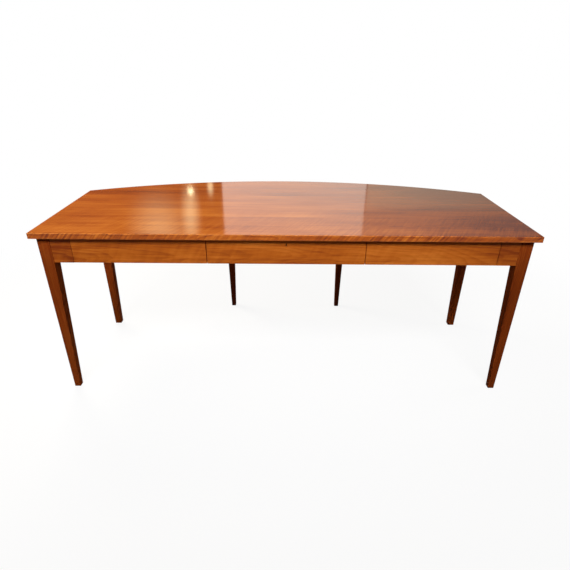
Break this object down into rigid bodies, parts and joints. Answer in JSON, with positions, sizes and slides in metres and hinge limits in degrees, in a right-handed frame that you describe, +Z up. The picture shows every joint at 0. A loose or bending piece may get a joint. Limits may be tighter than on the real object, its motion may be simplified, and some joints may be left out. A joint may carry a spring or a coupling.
{
  "type": "bow front desk",
  "caption": "Wooden desk with a bowed far edge, tapered legs and flush drawers along its straight side, the middle one with a lock.",
  "frame": {"origin": "on the floor, under the middle of the desk's bounding box", "axes": "+X to the right of someone who faces the drawer side, +Y from the drawer side to the bow, +Z up"},
  "size_m": [2.032, 0.9144, 0.762],
  "materials": {
    "cherry_top": "glossy varnish",
    "cherry_leg": "satin varnish",
    "cherry_apron": "satin varnish",
    "cherry_front": "satin varnish",
    "frame_wood": "planed, waxed",
    "runner_wood": "planed, waxed",
    "drawer_wood": "planed, waxed",
    "drawer_bottom_wood": "planed, waxed",
    "lock_brass": "aged",
    "lock_steel": "plain",
    "screw_steel": "plain"
  },
  "bodies": {
    "desk": {"desk_top": "cherry_top", "front_leg_left": "cherry_leg", "front_leg_right": "cherry_leg", "bow_corner_leg_left": "cherry_leg", "bow_corner_leg_right": "cherry_leg", "bow_mid_leg_left": "cherry_leg", "bow_mid_leg_right": "cherry_leg", "side_apron_left": "cherry_apron", "side_apron_right": "cherry_apron", "bow_apron_left": "cherry_apron", "bow_apron_right": "cherry_apron", "bow_apron_centre": "cherry_apron", "front_end_block_left": "cherry_apron", "front_end_block_right": "cherry_apron", "inner_partition_left": "frame_wood", "inner_partition_right": "frame_wood", "outer_partition_left": "frame_wood", "outer_partition_right": "frame_wood", "front_top_rail": "frame_wood", "end_glue_blocks": "frame_wood", "top_buttons": "frame_wood", "left_drawer_left_runner": "runner_wood", "left_drawer_right_runner": "runner_wood", "centre_drawer_left_runner": "runner_wood", "centre_drawer_right_runner": "runner_wood", "right_drawer_left_runner": "runner_wood", "right_drawer_right_runner": "runner_wood", "runner_screws": "screw_steel", "top_button_screws": "screw_steel", "rail_screws": "screw_steel", "strike_screws": "screw_steel", "strike_plate": "lock_brass"},
    "left_drawer": {"left_drawer_front": "cherry_front", "left_drawer_left_side": "drawer_wood", "left_drawer_right_side": "drawer_wood", "left_drawer_back": "drawer_wood", "left_drawer_bottom": "drawer_bottom_wood", "left_drawer_screws": "screw_steel"},
    "centre_drawer": {"centre_drawer_front": "cherry_front", "centre_drawer_left_side": "drawer_wood", "centre_drawer_right_side": "drawer_wood", "centre_drawer_back": "drawer_wood", "centre_drawer_bottom": "drawer_bottom_wood", "centre_drawer_screws": "screw_steel", "lock_case": "lock_brass", "lock_cap": "lock_brass", "lock_pin": "lock_steel", "lock_screws": "screw_steel"},
    "right_drawer": {"right_drawer_front": "cherry_front", "right_drawer_left_side": "drawer_wood", "right_drawer_right_side": "drawer_wood", "right_drawer_back": "drawer_wood", "right_drawer_bottom": "drawer_bottom_wood", "right_drawer_screws": "screw_steel"},
    "lock_bolt": {"lock_bolt": "lock_brass"}
  },
  "joints": [
    {"name": "left_drawer_slide", "type": "slide", "parent": "desk", "child": "left_drawer", "axis": [0, -1, 0], "range_m": [0, 0.4]},
    {"name": "centre_drawer_slide", "type": "slide", "parent": "desk", "child": "centre_drawer", "axis": [0, -1, 0], "range_m": [0, 0.4]},
    {"name": "right_drawer_slide", "type": "slide", "parent": "desk", "child": "right_drawer", "axis": [0, -1, 0], "range_m": [0, 0.4]},
    {"name": "lock_bolt_slide", "type": "slide", "parent": "centre_drawer", "child": "lock_bolt", "axis": [0, 0, 1], "range_m": [0, 0.008]}
  ]
}
